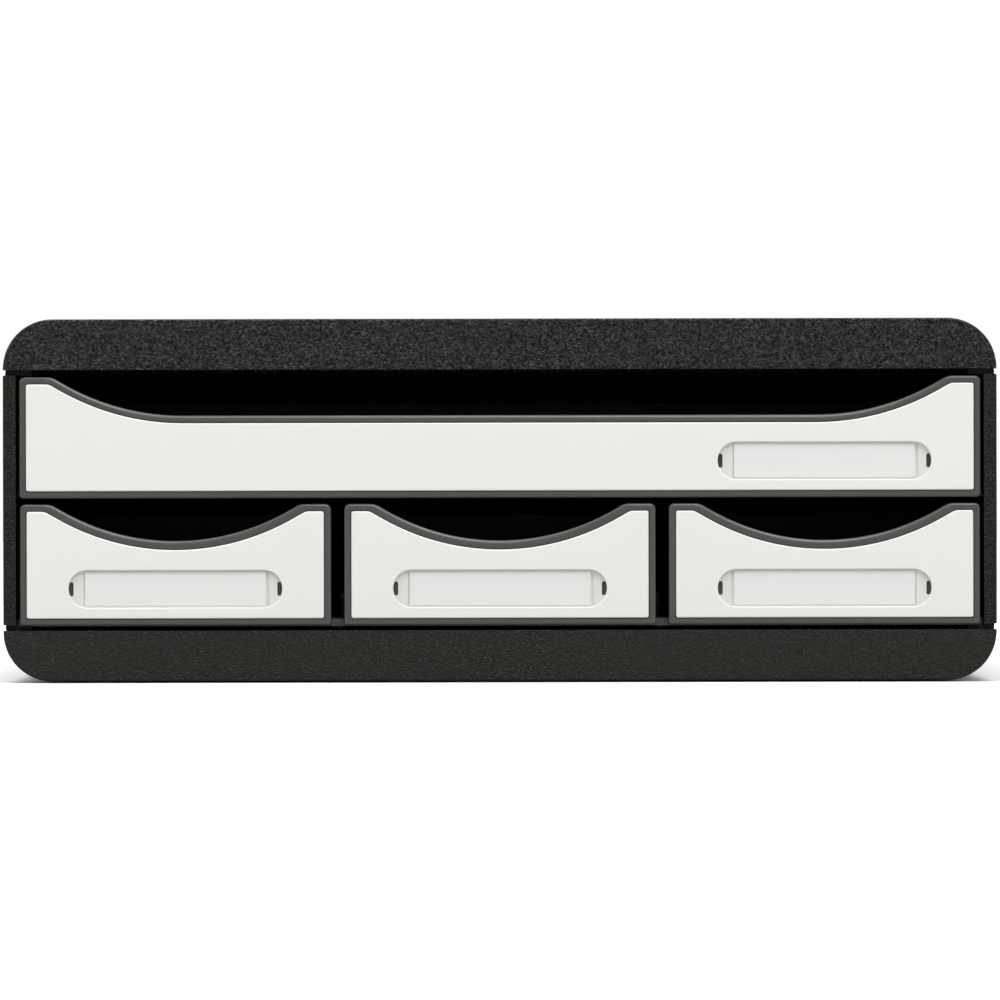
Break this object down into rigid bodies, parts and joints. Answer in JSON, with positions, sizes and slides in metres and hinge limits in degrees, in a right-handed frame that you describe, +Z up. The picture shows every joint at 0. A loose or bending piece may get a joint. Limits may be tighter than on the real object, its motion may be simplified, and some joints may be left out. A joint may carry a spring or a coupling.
{
  "type": "desktop mini drawers",
  "caption": "Low landscape desktop drawer set: one wide drawer above a row of narrow ones in a black case, with white scooped fronts and label holders.",
  "frame": {"origin": "on the surface it stands on, under the middle of the case", "axes": "+X to the viewer's right along the fronts, +Y from the fronts to the back, +Z up"},
  "size_m": [0.355, 0.27, 0.13],
  "materials": {
    "case_black": "black polystyrene with a coarse pebbled grain",
    "tray_grey": "dark grey polystyrene, satin with a fine grain",
    "front_white": "white polystyrene, smooth and softly glossy",
    "window_clear": "clear flexible plastic, smooth",
    "card_paper": "blank white card",
    "foot_rubber": "black rubber, matte"
  },
  "bodies": {
    "case": {"bottom_cap": "case_black", "top_cap": "case_black", "left_side_panel": "case_black", "right_side_panel": "case_black", "back_panel": "case_black", "small_drawer_shelf": "tray_grey", "front_left_foot": "foot_rubber", "front_right_foot": "foot_rubber", "rear_left_foot": "foot_rubber", "rear_right_foot": "foot_rubber"},
    "large_drawer": {"large_drawer_tray": "tray_grey", "large_drawer_front_panel": "front_white", "large_drawer_label_card": "card_paper", "large_drawer_label_window": "window_clear"},
    "left_drawer": {"left_drawer_tray": "tray_grey", "left_drawer_front_panel": "front_white", "left_drawer_label_card": "card_paper", "left_drawer_label_window": "window_clear"},
    "middle_drawer": {"middle_drawer_tray": "tray_grey", "middle_drawer_front_panel": "front_white", "middle_drawer_label_card": "card_paper", "middle_drawer_label_window": "window_clear"},
    "right_drawer": {"right_drawer_tray": "tray_grey", "right_drawer_front_panel": "front_white", "right_drawer_label_card": "card_paper", "right_drawer_label_window": "window_clear"}
  },
  "joints": [
    {"name": "large_drawer_slide", "type": "slide", "parent": "case", "child": "large_drawer", "axis": [0, -1, 0], "range_m": [0, 0.195]},
    {"name": "left_drawer_slide", "type": "slide", "parent": "case", "child": "left_drawer", "axis": [0, -1, 0], "range_m": [0, 0.185]},
    {"name": "middle_drawer_slide", "type": "slide", "parent": "case", "child": "middle_drawer", "axis": [0, -1, 0], "range_m": [0, 0.185]},
    {"name": "right_drawer_slide", "type": "slide", "parent": "case", "child": "right_drawer", "axis": [0, -1, 0], "range_m": [0, 0.185]}
  ]
}
